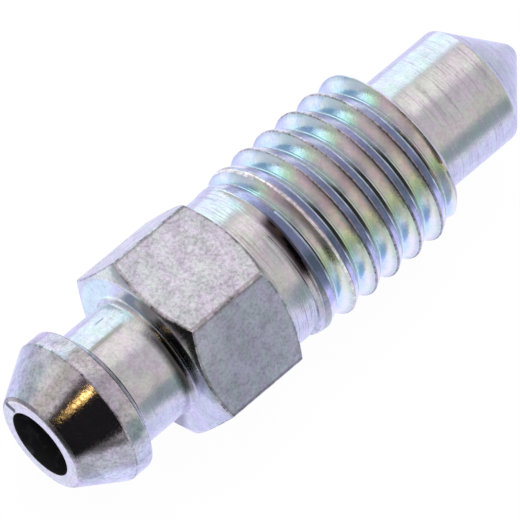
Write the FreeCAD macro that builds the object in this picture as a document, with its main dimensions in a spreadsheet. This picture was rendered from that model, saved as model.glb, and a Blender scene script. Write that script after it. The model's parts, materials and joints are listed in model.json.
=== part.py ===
import FreeCAD, Part
import math
import os

import Sketcher

# Bleeder screw, lying on one flat of its hexagon, in millimetres.
# The screw's own axis runs along +X, from the mouth of the hose nipple to the seat cone.
# The origin is under the middle of its length, on the surface that it lies on, and +Z is up.

NODE = "bleeder_screw"

# Driving dimensions: name, value, meaning
SIZES = [
    ("bore_d", 3.1, "drilled passage along the axis"),
    ("bore_depth", 24.0, "full-diameter depth of the passage, from the mouth"),
    ("drill_point_angle", 118, "included angle of the drill point at the end of the passage"),
    ("port_d", 1.6, "cross drilling that lets the fluid in behind the seat cone"),
    ("port_to_cone", 1.2, "middle of the cross drilling, back from the edge of the seat cone"),
    ("mouth_face_d", 4.4, "flat end face round the mouth, before its rim is rounded"),
    ("mouth_round", 0.3, "rounding of the end face's rim"),
    ("bulb_cone_len", 2.1, "lead-in cone that the hose is pushed over"),
    ("bulb_d", 6.9, "land that holds the hose"),
    ("bulb_land_len", 0.85, "length of the land"),
    ("bulb_back_len", 0.4, "steep back of the bulb, along the axis"),
    ("bulb_edge_round", 0.1, "broken edges of the land"),
    ("neck_d", 5.5, "neck behind the bulb"),
    ("neck_root_round", 0.3, "fillet between the neck and the hexagon"),
    ("nipple_len", 5.95, "from the mouth to the hexagon"),
    ("hex_across_flats", 7.9, "spanner size, at the small end of its tolerance"),
    ("hex_len", 4.75, "length of the hexagon, over its chamfers"),
    ("hex_chamfer_len", 0.42, "chamfer at the corners, along the axis"),
    ("hex_chamfer_angle", 30, "slope of the chamfer from the end faces"),
    ("relief_d", 7.24, "turned relief between the hexagon and the thread"),
    ("relief_len", 1.35, "length of the relief"),
    ("thread_d", 7.9, "outside of the thread, M8 with its crests a little low"),
    ("thread_pitch", 1.25, "coarse pitch of M8, right-hand"),
    ("thread_angle", 60, "included angle of the groove"),
    ("thread_crest", 0.42, "flat on each crest"),
    ("thread_root", 0.07, "flat at the bottom of the groove"),
    ("thread_len", 8.05, "from the relief to the thread's end face"),
    ("thread_lead_len", 0.28, "lead-in from the relief to the first crest"),
    ("thread_first_d", 7.56, "first crest, which isn't rolled up to full height"),
    ("thread_rise_len", 1.5, "length over which the crests reach their full height"),
    ("thread_full_from", 1.0, "from the relief to the first full groove, on the upper side"),
    ("thread_end_d", 7.04, "small end of the chamfer at the thread's end"),
    ("thread_end_len", 0.43, "length of that chamfer"),
    ("shank_d", 5.56, "plain shank beyond the thread"),
    ("shank_len", 4.24, "length of the plain shank"),
    ("seat_angle", 90, "included angle of the seat cone"),
    ("nose_radius", 0.6, "rounded point of the seat cone"),
]

# How far a cutter stands out of the metal that it cuts
CUTTER_ROOM = 0.1

doc = FreeCAD.newDocument("bleeder_screw_model")
sheet = doc.addObject("Spreadsheet::Sheet", "Sizes")
for row, (alias, value, meaning) in enumerate(SIZES, start=1):
    sheet.set(f"A{row}", alias)
    sheet.set(f"B{row}", str(value))
    sheet.set(f"C{row}", meaning)
    sheet.setAlias(f"B{row}", alias)
doc.recompute()

# Stations along the axis from the mouth, and radii, as expressions of the sheet
BULB_FRONT = "Sizes.bulb_cone_len"
BULB_REAR = f"{BULB_FRONT} + Sizes.bulb_land_len"
NECK_FRONT = f"{BULB_REAR} + Sizes.bulb_back_len"
HEX_FRONT = "Sizes.nipple_len"
HEX_MIDDLE = f"{HEX_FRONT} + Sizes.hex_len / 2"
HEX_REAR = f"{HEX_FRONT} + Sizes.hex_len"
HEX_CORNER_R = "Sizes.hex_across_flats / 2 / cos(30deg)"
CHAMFER_SLOPE = "tan(Sizes.hex_chamfer_angle * 1deg)"
RELIEF_END = f"{HEX_REAR} + Sizes.relief_len"
FIRST_CREST = f"{RELIEF_END} + Sizes.thread_lead_len"
FULL_CREST = f"{FIRST_CREST} + Sizes.thread_rise_len"
THREAD_END = f"{RELIEF_END} + Sizes.thread_len"
END_CHAMFER = f"{THREAD_END} - Sizes.thread_end_len"
GROOVE_START = f"{RELIEF_END} + Sizes.thread_full_from"
GROOVE_END = f"{THREAD_END} + Sizes.thread_pitch / 2"
FLANK_SLOPE = "tan(Sizes.thread_angle / 2 * 1deg)"
GROOVE_DEPTH = f"(Sizes.thread_pitch - Sizes.thread_crest - Sizes.thread_root) / 2 / {FLANK_SLOPE}"
CONE_EDGE = f"{THREAD_END} + Sizes.shank_len"
HALF_SEAT = "Sizes.seat_angle / 2 * 1deg"
NOSE_CENTRE = f"{CONE_EDGE} + Sizes.shank_d / 2 / tan({HALF_SEAT}) - Sizes.nose_radius / sin({HALF_SEAT})"
NOSE_EDGE = f"{NOSE_CENTRE} + Sizes.nose_radius * sin({HALF_SEAT})"
NOSE_EDGE_R = f"Sizes.nose_radius * cos({HALF_SEAT})"
LENGTH = f"{NOSE_CENTRE} + Sizes.nose_radius"


def value_of(expression):
    """An expression of the sheet as a plain number."""
    found = sheet.evalExpression(expression)
    return float(getattr(found, "Value", found))


def origin_object(body, role):
    """One of the body's own origin planes or axes."""
    return next(item for item in body.Origin.OriginFeatures if item.Role == role)


def new_sketch(body, name, role="XZ_Plane"):
    """An empty sketch on one of the body's origin planes."""
    sketch = body.newObject("Sketcher::SketchObject", name)
    sketch.AttachmentSupport = [(origin_object(body, role), "")]
    sketch.MapMode = "FlatFace"
    return sketch


def place_point(sketch, edge, end, across, up):
    """Hold a point where the sheet says, or on a sketch axis where the place is zero."""
    for kind, axis, expression in (("DistanceX", -2, across), ("DistanceY", -1, up)):
        if expression == "0":
            sketch.addConstraint(Sketcher.Constraint("PointOnObject", edge, end, axis))
            continue
        held = sketch.addConstraint(Sketcher.Constraint(kind, -1, 1, edge, end, value_of(expression)))
        sketch.setExpression(f"Constraints[{held}]", expression)


def join_ends(sketch, edge, end, other, other_end):
    """Make two edges of an outline meet."""
    sketch.addConstraint(Sketcher.Constraint("Coincident", edge, end, other, other_end))


def draw_lines(sketch, corners, closed=True):
    """Straight lines through corners that the sheet places, as a closed outline or an open chain."""
    places = [FreeCAD.Vector(value_of(across), value_of(up), 0) for across, up in corners]
    ends = places[1:] + places[:1] if closed else places[1:]
    lines = [sketch.addGeometry(Part.LineSegment(start, end)) for start, end in zip(places, ends)]
    for line, following in zip(lines, lines[1:]):
        join_ends(sketch, line, 2, following, 1)
    if closed:
        join_ends(sketch, lines[-1], 2, lines[0], 1)
    else:
        place_point(sketch, lines[-1], 2, *corners[-1])
    for line, (across, up) in zip(lines, corners):
        place_point(sketch, line, 1, across, up)
    return lines


def draw_blank(sketch):
    """Half section of the turned blank, without the hexagon and the drillings."""
    lines = draw_lines(sketch, [
        ("0", "0"),
        ("0", "Sizes.mouth_face_d / 2"),
        (BULB_FRONT, "Sizes.bulb_d / 2"),
        (BULB_REAR, "Sizes.bulb_d / 2"),
        (NECK_FRONT, "Sizes.neck_d / 2"),
        (HEX_MIDDLE, "Sizes.neck_d / 2"),
        (HEX_MIDDLE, "Sizes.relief_d / 2"),
        (RELIEF_END, "Sizes.relief_d / 2"),
        (FIRST_CREST, "Sizes.thread_first_d / 2"),
        (FULL_CREST, "Sizes.thread_d / 2"),
        (END_CHAMFER, "Sizes.thread_d / 2"),
        (THREAD_END, "Sizes.thread_end_d / 2"),
        (THREAD_END, "Sizes.shank_d / 2"),
        (CONE_EDGE, "Sizes.shank_d / 2"),
        (NOSE_EDGE, NOSE_EDGE_R),
    ], closed=False)
    centre = FreeCAD.Vector(value_of(NOSE_CENTRE), 0, 0)
    circle = Part.Circle(centre, FreeCAD.Vector(0, 0, 1), value_of("Sizes.nose_radius"))
    quarter = math.pi / 2 - math.radians(value_of("Sizes.seat_angle / 2"))
    nose = sketch.addGeometry(Part.ArcOfCircle(circle, 0, quarter))
    tip = FreeCAD.Vector(value_of(LENGTH), 0, 0)
    axis = sketch.addGeometry(Part.LineSegment(tip, FreeCAD.Vector(0, 0, 0)))
    join_ends(sketch, lines[-1], 2, nose, 2)
    place_point(sketch, nose, 3, NOSE_CENTRE, "0")
    sketch.addConstraint(Sketcher.Constraint("PointOnObject", nose, 1, -1))
    join_ends(sketch, nose, 1, axis, 1)
    join_ends(sketch, axis, 2, lines[0], 1)


def turn_away(body, name, outlines):
    """Take closed outlines, turned about the screw's axis, out of the body."""
    sketch = new_sketch(body, f"{name}_section")
    for corners in outlines:
        draw_lines(sketch, corners)
    groove = body.newObject("PartDesign::Groove", name)
    groove.Profile = sketch
    groove.ReferenceAxis = (sketch, ["H_Axis"])
    groove.Angle = 360


def chamfer_outline(face, inward):
    """Corner that the chamfering tool takes off the hexagon at one end face."""
    outside = f"{HEX_CORNER_R} + {CUTTER_ROOM}"
    reach = f"(Sizes.hex_chamfer_len + {CUTTER_ROOM} * {CHAMFER_SLOPE})"
    return [
        (face, f"{HEX_CORNER_R} - Sizes.hex_chamfer_len / {CHAMFER_SLOPE}"),
        (face, outside),
        (f"{face} {inward} {reach}", outside),
    ]


def round_edges(body, name, radius, circles):
    """Round the circular edges found at the given stations and radii."""
    doc.recompute()
    base = body.Tip
    edges = [circular_edge(base.Shape, value_of(along), value_of(around)) for along, around in circles]
    fillet = body.newObject("PartDesign::Fillet", name)
    fillet.Base = (base, edges)
    fillet.setExpression("Radius", radius)


def circular_edge(shape, along, around):
    """Name of the circular edge about the screw's axis at one station and radius."""
    near = 1e-4
    for number, edge in enumerate(shape.Edges, start=1):
        if not isinstance(edge.Curve, Part.Circle) or abs(edge.Curve.Radius - around) > near:
            continue
        if edge.Curve.Center.distanceToPoint(FreeCAD.Vector(along, 0, 0)) < near:
            return f"Edge{number}"
    raise ValueError(f"no circular edge at {along:.3f} with radius {around:.3f}")


def cut_thread(body, sketch, name):
    """A helical cut about the screw's axis that starts at the groove's section."""
    helix = body.newObject("PartDesign::SubtractiveHelix", name)
    helix.Profile = sketch
    helix.ReferenceAxis = (sketch, ["H_Axis"])
    return helix


def build_screw():
    """The whole screw, in the order in which a machine would make it."""
    body = doc.addObject("PartDesign::Body", NODE)
    body.Label = NODE

    blank = body.newObject("PartDesign::Revolution", "turned_blank")
    blank_section = new_sketch(body, "blank_section")
    draw_blank(blank_section)
    blank.Profile = blank_section
    blank.ReferenceAxis = (blank_section, ["H_Axis"])
    blank.Angle = 360

    hexagon = new_sketch(body, "hexagon", "YZ_Plane")
    hexagon.setExpression("AttachmentOffset.Base.z", HEX_FRONT)
    draw_lines(hexagon, [
        (f"{HEX_CORNER_R} * cos({corner * 60}deg)", f"{HEX_CORNER_R} * sin({corner * 60}deg)" if corner % 3 else "0")
        for corner in range(6)
    ])
    spanner_hex = body.newObject("PartDesign::Pad", "spanner_hex")
    spanner_hex.Profile = hexagon
    spanner_hex.setExpression("Length", "Sizes.hex_len")

    turn_away(body, "hex_chamfers", [chamfer_outline(HEX_FRONT, "+"), chamfer_outline(HEX_REAR, "-")])
    round_edges(body, "mouth_rim", "Sizes.mouth_round", [("0", "Sizes.mouth_face_d / 2")])
    round_edges(body, "bulb_edges", "Sizes.bulb_edge_round",
                [(BULB_FRONT, "Sizes.bulb_d / 2"), (BULB_REAR, "Sizes.bulb_d / 2")])
    round_edges(body, "neck_root", "Sizes.neck_root_round", [(HEX_FRONT, "Sizes.neck_d / 2")])

    turn_away(body, "passage", [[
        ("0", "0"),
        ("0", "Sizes.bore_d / 2"),
        ("Sizes.bore_depth", "Sizes.bore_d / 2"),
        ("Sizes.bore_depth + Sizes.bore_d / 2 / tan(Sizes.drill_point_angle / 2 * 1deg)", "0"),
    ]])

    port_circle = new_sketch(body, "port_circle", "XY_Plane")
    middle = FreeCAD.Vector(value_of(f"{CONE_EDGE} - Sizes.port_to_cone"), 0, 0)
    rim = port_circle.addGeometry(Part.Circle(middle, FreeCAD.Vector(0, 0, 1), value_of("Sizes.port_d / 2")))
    place_point(port_circle, rim, 3, f"{CONE_EDGE} - Sizes.port_to_cone", "0")
    width = port_circle.addConstraint(Sketcher.Constraint("Diameter", rim, value_of("Sizes.port_d")))
    port_circle.setExpression(f"Constraints[{width}]", "Sizes.port_d")
    port = body.newObject("PartDesign::Pocket", "port")
    port.Profile = port_circle
    port.setExpression("Length", "Sizes.shank_d")

    groove_section = new_sketch(body, "groove_section")
    root_r = f"Sizes.thread_d / 2 - {GROOVE_DEPTH}"
    rim_r = f"Sizes.thread_d / 2 + {CUTTER_ROOM}"
    half_root = "Sizes.thread_root / 2"
    half_rim = f"((Sizes.thread_pitch - Sizes.thread_crest) / 2 + {CUTTER_ROOM} * {FLANK_SLOPE})"
    draw_lines(groove_section, [
        (f"{GROOVE_START} - {half_root}", root_r),
        (f"{GROOVE_START} - {half_rim}", rim_r),
        (f"{GROOVE_START} + {half_rim}", rim_r),
        (f"{GROOVE_START} + {half_root}", root_r),
    ])
    thread = cut_thread(body, groove_section, "thread")
    thread.Mode = "pitch-height-angle"
    thread.setExpression("Pitch", "Sizes.thread_pitch")
    thread.setExpression("Height", f"{GROOVE_END} - ({GROOVE_START})")

    run_out = cut_thread(body, groove_section, "thread_run_out")
    run_out.Mode = "height-turns-growth"
    run_out.Turns = 1
    run_out.Reversed = True
    run_out.setExpression("Height", "Sizes.thread_pitch")
    run_out.setExpression("Growth", f"{GROOVE_DEPTH} + {CUTTER_ROOM}")
    body.Tip = run_out

    body.setExpression("Placement.Base.x", f"-({LENGTH}) / 2")
    body.setExpression("Placement.Base.z", "max(Sizes.hex_across_flats; Sizes.thread_d) / 2")
    return body


def check_document(screw):
    """Stop where any object failed or the screw isn't one sound solid."""
    for item in doc.Objects:
        if "Invalid" in item.State or "Error" in item.State:
            raise RuntimeError(f"{item.Label} failed: {item.State}")
    if screw.Shape.isNull() or not screw.Shape.isValid() or len(screw.Shape.Solids) != 1:
        raise RuntimeError(f"{screw.Label} is not one sound solid")


screw = build_screw()
doc.recompute()
check_document(screw)
os.makedirs("parts", exist_ok=True)
screw.Shape.exportStep(f"parts/{screw.Label}.step")
print(f"{screw.Label}: {screw.Shape.Volume:.2f} cubic millimetres")
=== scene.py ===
"""A zinc-plated bleeder screw, lying on one flat of its hexagon in a white studio."""

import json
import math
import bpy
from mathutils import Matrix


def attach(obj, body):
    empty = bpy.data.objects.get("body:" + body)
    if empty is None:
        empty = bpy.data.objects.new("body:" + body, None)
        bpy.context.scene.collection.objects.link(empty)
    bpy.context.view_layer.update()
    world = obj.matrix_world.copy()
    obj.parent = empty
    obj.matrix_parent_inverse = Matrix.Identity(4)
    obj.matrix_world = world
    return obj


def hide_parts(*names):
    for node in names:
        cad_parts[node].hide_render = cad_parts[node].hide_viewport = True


bl_info = {
    "name": "Bleeder screw",
    "version": (1, 0, 0),
    "blender": (4, 5, 0),
    "location": "3D View > Sidebar > Bleeder screw",
    "description": "Models a zinc-plated bleeder screw, finishes its surfaces and sets up its studio",
    "category": "Object",
}

from types import SimpleNamespace

import bmesh
import bpy
from bpy.props import FloatProperty, FloatVectorProperty, IntProperty, PointerProperty
from bpy.types import Operator, Panel, PropertyGroup
from mathutils import Matrix, Vector

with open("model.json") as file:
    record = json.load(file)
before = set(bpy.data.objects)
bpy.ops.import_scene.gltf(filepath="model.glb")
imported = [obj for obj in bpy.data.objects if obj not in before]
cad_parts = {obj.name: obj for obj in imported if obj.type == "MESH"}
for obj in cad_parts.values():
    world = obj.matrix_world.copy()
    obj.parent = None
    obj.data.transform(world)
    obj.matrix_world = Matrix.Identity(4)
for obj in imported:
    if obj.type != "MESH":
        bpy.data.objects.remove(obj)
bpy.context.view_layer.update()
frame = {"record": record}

NODE = "bleeder_screw"

# The mesh is modelled a thousand times as large, because edit-mode tools merge points a micrometre apart
MM = 0.001
ENLARGED = 1000.0
SAME_PLACE = 1e-4
MERGED = 1e-3

MOUNTS = {mount["name"]: mount for mount in frame["record"]["mounts"]}
MOUTH = Vector(MOUNTS["nipple_bore"]["pos_m"])
BORE_R = MOUNTS["nipple_bore"]["dims"]["r_mm"]
BORE_LENGTH = MOUNTS["nipple_bore"]["dims"]["length_mm"]
BULB_R = MOUNTS["hose_nipple"]["dims"]["r_mm"]
SHANK_R = MOUNTS["seat_shank"]["dims"]["r_mm"]
SHANK_LENGTH = MOUNTS["seat_shank"]["dims"]["length_mm"]
SHANK_MIDDLE = (MOUNTS["seat_shank"]["pos_m"][0] - MOUTH.x) / MM
HEX_MIDDLE = (MOUNTS["spanner_flat"]["pos_m"][0] - MOUTH.x) / MM
HEX_FLAT_R = (MOUNTS["spanner_flat"]["pos_m"][2] - MOUTH.z) / MM
TIP = (MOUNTS["seat_cone"]["pos_m"][0] - MOUTH.x) / MM

SIXTH_TURN = math.radians(60)
CHAMFER_SLOPE = math.tan(math.radians(30))
HEX_CORNER_R = HEX_FLAT_R / math.cos(math.radians(30))
DRILL_POINT_HALF_ANGLE = math.radians(59)
SEAT_CONE_HALF_ANGLE = math.radians(45)
SMOOTH_BELOW = math.radians(32)

# The turned relief stops this short of the thread's strip, and a bridge closes the gap
JOINT_GAP = 0.02

GRAIN_DEPTH = 8 * MM * MM
FLOOR_GLOW = 0.97
LENS = 554.48
CAMERA_PLACE = Vector((-118.60577, -125.12792, 279.84187)) * MM
CAMERA_RIGHT = Vector((0.71548, -0.69853, -0.01214))
CAMERA_UP = Vector((0.59776, 0.60309, 0.52816))
WHITE = (1.0, 1.0, 1.0)


def length(label, millimetres, description):
    """A size of the screw, kept in metres and shown with its unit."""
    return FloatProperty(name=label, description=description, default=millimetres * MM,
                         min=0.0, precision=5, unit="LENGTH")


def colour(label, value, description):
    """A colour of the plate or of the studio."""
    return FloatVectorProperty(name=label, description=description, default=value, size=3,
                               min=0.0, max=1.0, subtype="COLOR")


class BleederScrewSizes(PropertyGroup):
    """Sizes of the screw, from the mouth of the nipple to the seat cone"""
    bore_r: length("Passage radius", BORE_R, "Drilled passage along the axis")
    bore_depth: length("Passage depth", BORE_LENGTH, "Full-diameter depth of the passage")
    port_r: length("Port radius", 0.8, "Cross drilling behind the seat cone")
    port_to_cone: length("Port to cone", 1.2, "From the port's middle to the seat cone")
    face_r: length("End face radius", 2.2, "End face round the mouth")
    bulb_r: length("Bulb radius", BULB_R, "Land that holds the hose")
    bulb_front: length("Bulb front", 2.1, "Lead-in cone, from the mouth to the land")
    bulb_rear: length("Bulb rear", 2.95, "Rear edge of the land, from the mouth")
    neck_front: length("Neck front", 3.35, "Back end of the bulb, from the mouth")
    neck_r: length("Neck radius", 2.75, "Neck between the bulb and the hexagon")
    hex_length: length("Hexagon length", 4.75, "Hexagon, over its chamfers")
    hex_chamfer: length("Hexagon chamfer", 0.42, "Corner chamfer, along the axis")
    hex_edge_round: length("Hexagon rounding", 0.05, "Rounding of the hexagon's edges")
    relief_r: length("Relief radius", 3.62, "Relief before the thread")
    relief_length: length("Relief length", 1.35, "From the hexagon to the thread")
    thread_r: length("Thread radius", 3.95, "Outside of the thread's full crests")
    thread_pitch: length("Thread pitch", 1.25, "Advance of the groove in one turn")
    thread_depth: length("Thread depth", 0.66, "From the full crests to the bottom of the groove")
    thread_front: length("Front flank", 0.42, "Steep flank, along the axis")
    thread_flat: length("Crest flat", 0.08, "Flat top of each crest")
    thread_shoulder: length("Crest shoulder", 0.345, "Fall behind each crest, along the axis")
    shoulder_fall: length("Shoulder fall", 0.19, "How far the shoulder falls")
    thread_length: length("Thread length", 8.05, "From the relief to the end face")
    thread_lead: length("Thread lead-in", 0.28, "From the relief to the first crest")
    first_crest_r: length("First crest radius", 3.78, "First crest, not rolled up to full height")
    thread_rise: length("Thread rise", 1.5, "Length over which the crests rise")
    full_groove: length("Full groove", 1.03, "From the relief to the first full groove")
    groove_runout: length("Groove run-out", 0.76, "Fall of the groove's bottom in its first turn")
    thread_end_r: length("Thread end radius", 3.52, "Small end of the thread's end chamfer")
    thread_end_length: length("Thread end chamfer", 0.43, "End chamfer, along the axis")
    edge_round: length("Crest rounding", 0.08, "Softness of the crests' front edges")
    lip_round: length("Lip rounding", 0.05, "Softness of the lip behind the shoulder")
    root_round: length("Root rounding", 0.1, "Softness of the bottom of the groove")
    thread_foot: length("Thread foot", 0.25, "Half the length of the hollow at the thread's start")
    shank_r: length("Shank radius", SHANK_R, "Plain shank beyond the thread")
    nose_r: length("Nose radius", 0.6, "Rounded point of the seat cone")
    columns: IntProperty(name="Columns", description="Steps round the screw, in whole sixths",
                         default=192, min=48, max=384)


class BleederScrewFinish(PropertyGroup):
    """Colours of the zinc plate, where it is seen square on, and of the studio"""
    plate: colour("Plate", (0.8, 0.77, 0.8), "Turned surfaces")
    flats: colour("Hexagon flats", (0.9, 0.87, 0.9), "Matte drawn flats of the hexagon")
    mouth: colour("Mouth", (0.95, 0.95, 0.9), "End face round the mouth")
    # The rim's darkening is painted shade where its rounding would catch a highlight
    rim: colour("Rim", (0.84, 0.82, 0.84), "Shaded rim of the end face")
    flanks: colour("Front flanks", (0.8, 0.68, 0.64), "Front flanks and groove bottom")
    # The crests' dark blue-grey is a painted reflection on the same zinc plate as the flanks
    crests: colour("Crests", (0.47, 0.455, 0.56), "Tops of the thread's crests")
    # The crest edges' darkening is painted shade along the front edge of each crest
    crest_edges: colour("Crest edges", (0.72, 0.62, 0.66), "Darkened front edges of the crests")
    # The shoulders' dark blue is a painted reflection and painted shade on the zinc plate
    shoulders: colour("Shoulders", (0.235, 0.285, 0.43), "Gentle fall behind each crest")
    # The lips are a painted highlight: matte and light, so the lamp lights a bright line behind each shoulder
    lips: colour("Lips", (0.32, 0.38, 0.48), "Edge behind each shoulder")
    # The back flanks turn near-black at a slant as painted shade of the groove, lifted again on some sides as
    # painted reflection
    back_flanks: colour("Back flanks", (1.0, 0.98, 0.98), "Flanks that face the seat cone")
    thread_end: colour("Thread end", (1.0, 0.96, 1.0), "End face and chamfer of the thread")
    # The passage's near-black is painted shade deep in the bore
    passage: colour("Passage", (0.02, 0.02, 0.022), "Inside of the passage")
    dust: colour("Streaks", (0.1, 0.1, 0.11), "Grey dust in the passage")
    floor: colour("Floor", (0.9, 0.89, 0.94), "Floor under the screw")


def millimetre_sizes(settings):
    """The screw's sizes, and the stations that follow from them, at the scale of the mesh."""
    names = [name for name in type(settings).__annotations__ if name != "columns"]
    sizes = SimpleNamespace(columns=settings.columns)
    for name in names:
        setattr(sizes, name, getattr(settings, name) * ENLARGED)
    sizes.hex_front = HEX_MIDDLE - sizes.hex_length / 2
    sizes.hex_rear = HEX_MIDDLE + sizes.hex_length / 2
    sizes.relief_end = sizes.hex_rear + sizes.relief_length
    sizes.first_crest = sizes.relief_end + sizes.thread_lead
    sizes.full_crest = sizes.first_crest + sizes.thread_rise
    sizes.full_from = sizes.relief_end + sizes.full_groove
    sizes.thread_end = sizes.relief_end + sizes.thread_length
    sizes.end_chamfer = sizes.thread_end - sizes.thread_end_length
    sizes.crest_end = sizes.thread_front + sizes.thread_flat
    sizes.shoulder_end = sizes.crest_end + sizes.thread_shoulder
    sizes.cone_edge = SHANK_MIDDLE + SHANK_LENGTH / 2
    sizes.port_x = sizes.cone_edge - sizes.port_to_cone
    return sizes


def deselect_all():
    """Nothing selected and nothing active, before a new primitive is added."""
    for item in bpy.context.selected_objects:
        item.select_set(False)
    bpy.context.view_layer.objects.active = None


def make_active(piece):
    """Select one object alone and make it the active one."""
    deselect_all()
    piece.select_set(True)
    bpy.context.view_layer.objects.active = piece


def edit(piece):
    """Go into edit mode on one object, with nothing selected in its mesh."""
    make_active(piece)
    bpy.ops.object.mode_set(mode="EDIT")
    bpy.ops.mesh.select_mode(type="VERT")
    bpy.ops.mesh.select_all(action="DESELECT")


def leave_edit():
    """Back to object mode."""
    bpy.ops.object.mode_set(mode="OBJECT")


def round_axis(point):
    """Distance from the screw's axis and angle about it, from +Y towards +Z."""
    return math.hypot(point.y, point.z), math.atan2(point.z, point.y)


def at_angle(x, radius, angle):
    """A point by its station, its radius and its angle about the axis."""
    return Vector((x, radius * math.cos(angle), radius * math.sin(angle)))


def select_vertices(piece, chosen):
    """In edit mode, select the vertices whose place passes a test."""
    mesh = bmesh.from_edit_mesh(piece.data)
    for vertex in mesh.verts:
        vertex.select = chosen(vertex.co)
    mesh.select_flush_mode()
    bmesh.update_edit_mesh(piece.data)


def select_edges(piece, chosen):
    """In edit mode, select the edges that pass a test."""
    bpy.ops.mesh.select_mode(type="EDGE")
    bpy.ops.mesh.select_all(action="DESELECT")
    mesh = bmesh.from_edit_mesh(piece.data)
    for edge in mesh.edges:
        edge.select = chosen(edge)
    bmesh.update_edit_mesh(piece.data)


def near(value, target):
    """Whether two sizes are the same, but for rounding."""
    return abs(value - target) < SAME_PLACE


def on_ring(point, x, radius):
    """Whether a point lies on the ring at one station and radius."""
    return near(point.x, x) and near(round_axis(point)[0], radius)


def close_to_axis(piece, x, radius, apex):
    """Draw the end ring of a turned shape together in a point on the axis."""
    bpy.ops.mesh.select_mode(type="VERT")
    select_vertices(piece, lambda point: on_ring(point, x, radius))
    bpy.ops.mesh.extrude_region_move(TRANSFORM_OT_translate={"value": (apex - x, 0, 0)})
    bpy.ops.mesh.merge(type="CENTER")


def turned(name, stations, columns):
    """A turned skin: a circle extruded and resized from station to station along the axis."""
    stations = list(stations)
    first_apex = stations.pop(0)[0] if stations[0][1] == 0 else None
    last_apex = stations.pop()[0] if stations[-1][1] == 0 else None
    (x, radius), following = stations[0], stations[1:]
    deselect_all()
    bpy.ops.mesh.primitive_circle_add(vertices=columns, radius=radius, fill_type="NOTHING",
                                      location=(x, 0, 0), rotation=(0, math.pi / 2, 0))
    piece = bpy.context.object
    piece.name = name
    bpy.ops.object.transform_apply(location=True, rotation=True, scale=True)
    edit(piece)
    bpy.ops.mesh.select_all(action="SELECT")
    for next_x, next_radius in following:
        bpy.ops.mesh.extrude_region_move(TRANSFORM_OT_translate={"value": (next_x - x, 0, 0)})
        growth = next_radius / radius
        bpy.ops.transform.resize(value=(1, growth, growth), center_override=(next_x, 0, 0))
        x, radius = next_x, next_radius
    if last_apex is not None:
        close_to_axis(piece, x, radius, last_apex)
    if first_apex is not None:
        close_to_axis(piece, *stations[0], first_apex)
    leave_edit()
    return piece


def bevel_edges(piece, chosen, reach, steps):
    """Round the edges that pass a test."""
    edit(piece)
    select_edges(piece, chosen)
    bpy.ops.mesh.bevel(offset=reach, segments=steps, affect="EDGES", clamp_overlap=False)
    leave_edit()


def round_ring(piece, x, radius, reach, steps):
    """Round the edge that runs about the axis at one station and radius."""
    bevel_edges(piece, lambda edge: all(on_ring(end.co, x, radius) for end in edge.verts), reach, steps)


def hexagon_place(sizes, point):
    """Where the chamfer's cone cuts the hexagon's outline, at the end nearer to the point."""
    angle = round_axis(point)[1]
    radius = HEX_FLAT_R / math.cos(angle % SIXTH_TURN - SIXTH_TURN / 2)
    back = sizes.hex_chamfer - (HEX_CORNER_R - radius) * CHAMFER_SLOPE
    half = sizes.hex_length / 2 - back
    side = 1 if point.x > HEX_MIDDLE else -1
    return at_angle(HEX_MIDDLE + side * half, radius, angle)


def press_hexagon(piece, sizes, stations):
    """Move two rings onto the edges between the chamfers and the flats, and round the hexagon's edges."""
    edit(piece)
    mesh = bmesh.from_edit_mesh(piece.data)
    rings = [vertex for vertex in mesh.verts if any(on_ring(vertex.co, *station) for station in stations)]
    for vertex in rings:
        vertex.co = hexagon_place(sizes, vertex.co)
    bmesh.update_edit_mesh(piece.data)
    leave_edit()

    def hexagon_edge(edge):
        ends = [vertex.co for vertex in edge.verts]
        on_hexagon = all((point - hexagon_place(sizes, point)).length < MERGED for point in ends)
        lengthwise = abs(ends[0].x - ends[1].x) > sizes.hex_length / 2
        corner = near(round_axis(ends[0])[0], HEX_CORNER_R)
        return on_hexagon and (corner or not lengthwise)

    bevel_edges(piece, hexagon_edge, sizes.hex_edge_round, 3)


def model_nipple(sizes):
    """From the drill point out of the mouth, over the bulb, neck and hexagon, to the end of the relief."""
    ring_r = HEX_CORNER_R - sizes.hex_chamfer / CHAMFER_SLOPE
    middle_r = (ring_r + HEX_CORNER_R) / 2
    to_chamfer = sizes.hex_length / 2 - sizes.hex_chamfer
    front, rear = (HEX_MIDDLE - to_chamfer, middle_r), (HEX_MIDDLE + to_chamfer, middle_r)
    drill_point = sizes.bore_r / math.tan(DRILL_POINT_HALF_ANGLE)
    piece = turned("nipple", [
        (sizes.bore_depth + drill_point, 0),
        (sizes.bore_depth, sizes.bore_r),
        (0, sizes.bore_r),
        (0, sizes.face_r),
        (sizes.bulb_front, sizes.bulb_r),
        (sizes.bulb_rear, sizes.bulb_r),
        (sizes.neck_front, sizes.neck_r),
        (sizes.hex_front, sizes.neck_r),
        (sizes.hex_front, ring_r),
        front,
        rear,
        (sizes.hex_rear, ring_r),
        (sizes.hex_rear, sizes.relief_r),
        (sizes.relief_end - sizes.thread_foot - JOINT_GAP, sizes.relief_r),
    ], sizes.columns)
    press_hexagon(piece, sizes, (front, rear))
    # Each rounded edge: its station, its radius, how far the rounding reaches and its steps
    for x, radius, reach, steps in (
        (0, sizes.bore_r, 0.06, 3),
        (0, sizes.face_r, 0.17, 5),
        (sizes.bulb_front, sizes.bulb_r, 0.05, 3),
        (sizes.bulb_rear, sizes.bulb_r, 0.06, 3),
        (sizes.neck_front, sizes.neck_r, 0.05, 3),
        (sizes.hex_front, sizes.neck_r, 0.3, 6),
        (sizes.hex_front, ring_r, 0.03, 3),
        (sizes.hex_rear, ring_r, 0.03, 3),
        (sizes.hex_rear, sizes.relief_r, 0.06, 3),
    ):
        round_ring(piece, x, radius, reach, steps)
    return piece


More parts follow.
